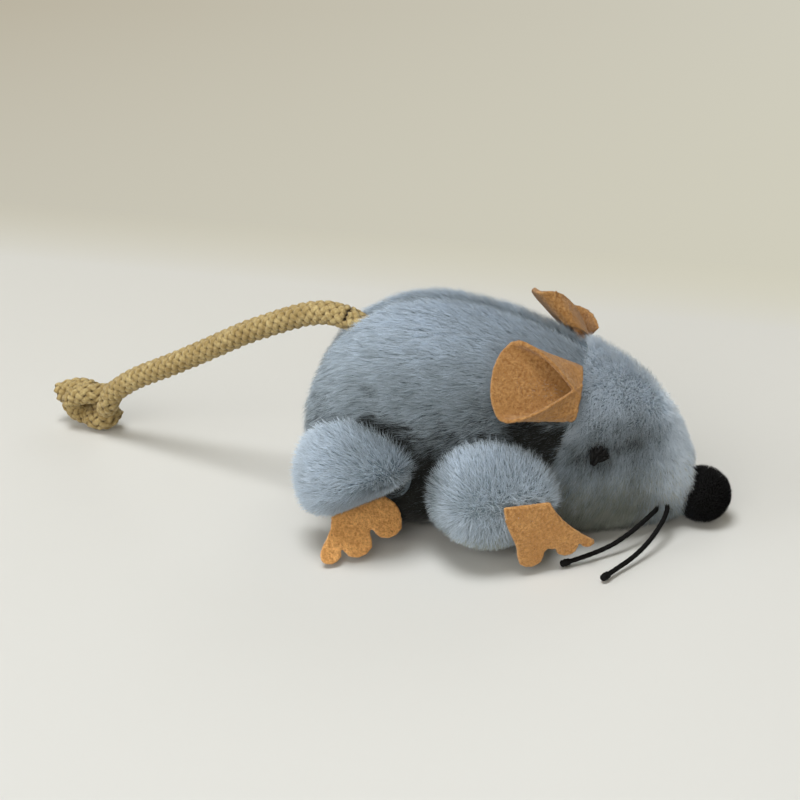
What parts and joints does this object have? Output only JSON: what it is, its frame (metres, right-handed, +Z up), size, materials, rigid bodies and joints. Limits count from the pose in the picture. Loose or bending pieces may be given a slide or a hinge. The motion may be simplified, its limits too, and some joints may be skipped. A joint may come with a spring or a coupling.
{
  "type": "plush mouse cat toy",
  "caption": "Small stuffed plush mouse with felt ears, hands and feet, a black pompom nose, black cord whiskers and a knotted rope tail.",
  "frame": {"origin": "centre of the toy's bounding box without its cords, at the floor", "axes": "+X towards the nose, +Z up, +Y towards the toy's own left side"},
  "size_m": [0.1911, 0.092, 0.0602],
  "materials": {
    "plush": "short pile",
    "stuffing": "loose fibre",
    "felt": "felted",
    "pompom": "short pile",
    "thread": "satin stitch",
    "whisker_cord": "waxed cord",
    "rope": "braided cotton"
  },
  "bodies": {
    "torso": {"torso_side_right": "plush", "torso_side_left": "plush", "belly_panel": "plush", "torso_stuffing": "stuffing", "head_cover": "plush", "head_stuffing": "stuffing", "nose_pompom": "pompom", "eye_right": "thread", "eye_left": "thread", "whisker_rear_right": "whisker_cord", "whisker_knot_rear_right": "whisker_cord", "whisker_front_right": "whisker_cord", "whisker_knot_front_right": "whisker_cord", "whisker_rear_left": "whisker_cord", "whisker_knot_rear_left": "whisker_cord", "whisker_front_left": "whisker_cord", "whisker_knot_front_left": "whisker_cord", "whisker_thread_rear": "whisker_cord", "whisker_thread_front": "whisker_cord", "tail_root": "rope"},
    "arm_right": {"arm_cover_right": "plush", "arm_stuffing_right": "stuffing"},
    "hand_right": {"hand_right": "felt"},
    "leg_right": {"leg_cover_right": "plush", "leg_stuffing_right": "stuffing"},
    "foot_right": {"foot_right": "felt"},
    "ear_right": {"ear_right": "felt"},
    "arm_left": {"arm_cover_left": "plush", "arm_stuffing_left": "stuffing"},
    "hand_left": {"hand_left": "felt"},
    "leg_left": {"leg_cover_left": "plush", "leg_stuffing_left": "stuffing"},
    "foot_left": {"foot_left": "felt"},
    "ear_left": {"ear_left": "felt"},
    "tail": {"tail_rope": "rope", "tail_knot": "rope"}
  },
  "joints": [
    {"name": "arm_swing_right", "type": "hinge", "parent": "torso", "child": "arm_right", "pos_m": [-0.00738, -0.02136, 0.01717], "axis": [0.02, -0.9682, -0.2495], "range_deg": [0, 30], "stiffness_Nm_per_rad": 0.006},
    {"name": "arm_swing_left", "type": "hinge", "parent": "torso", "child": "arm_left", "pos_m": [-0.00738, 0.02136, 0.01717], "axis": [-0.02, -0.9682, 0.2495], "range_deg": [0, 30], "stiffness_Nm_per_rad": 0.006},
    {"name": "leg_swing_right", "type": "hinge", "parent": "torso", "child": "leg_right", "pos_m": [-0.03921, -0.01937, 0.01928], "axis": [0.2607, 0.9323, 0.2506], "range_deg": [0, 25], "stiffness_Nm_per_rad": 0.006},
    {"name": "leg_swing_left", "type": "hinge", "parent": "torso", "child": "leg_left", "pos_m": [-0.03921, 0.01937, 0.01928], "axis": [-0.2607, 0.9323, -0.2506], "range_deg": [0, 25], "stiffness_Nm_per_rad": 0.006},
    {"name": "hand_flap_right", "type": "hinge", "parent": "arm_right", "child": "hand_right", "pos_m": [0.00251, -0.03374, 0.01859], "axis": [-0.9076, -0.4169, 0.0496], "range_deg": [0, 60], "stiffness_Nm_per_rad": 0.002},
    {"name": "hand_flap_left", "type": "hinge", "parent": "arm_left", "child": "hand_left", "pos_m": [0.00251, 0.03374, 0.01859], "axis": [0.9076, -0.4169, -0.0496], "range_deg": [0, 60], "stiffness_Nm_per_rad": 0.002},
    {"name": "foot_flap_right", "type": "hinge", "parent": "leg_right", "child": "foot_right", "pos_m": [-0.03943, -0.02366, 0.01173], "axis": [-0.8392, -0.5089, -0.1918], "range_deg": [0, 50], "stiffness_Nm_per_rad": 0.002},
    {"name": "foot_flap_left", "type": "hinge", "parent": "leg_left", "child": "foot_left", "pos_m": [-0.03943, 0.02366, 0.01173], "axis": [0.8392, -0.5089, 0.1918], "range_deg": [0, 50], "stiffness_Nm_per_rad": 0.002},
    {"name": "ear_flap_right", "type": "hinge", "parent": "torso", "child": "ear_right", "pos_m": [0.01333, -0.0168, 0.0411], "axis": [0.1071, 0.5343, 0.8385], "range_deg": [0, 45], "stiffness_Nm_per_rad": 0.002},
    {"name": "ear_flap_left", "type": "hinge", "parent": "torso", "child": "ear_left", "pos_m": [0.01523, 0.0112, 0.0439], "axis": [0.015, 0.9111, -0.412], "range_deg": [0, 20], "stiffness_Nm_per_rad": 0.002},
    {"name": "tail_swing", "type": "hinge", "parent": "torso", "child": "tail", "pos_m": [-0.04407, 0.0002, 0.0533], "axis": [0, 0, 1], "range_deg": [-30, 60]}
  ]
}
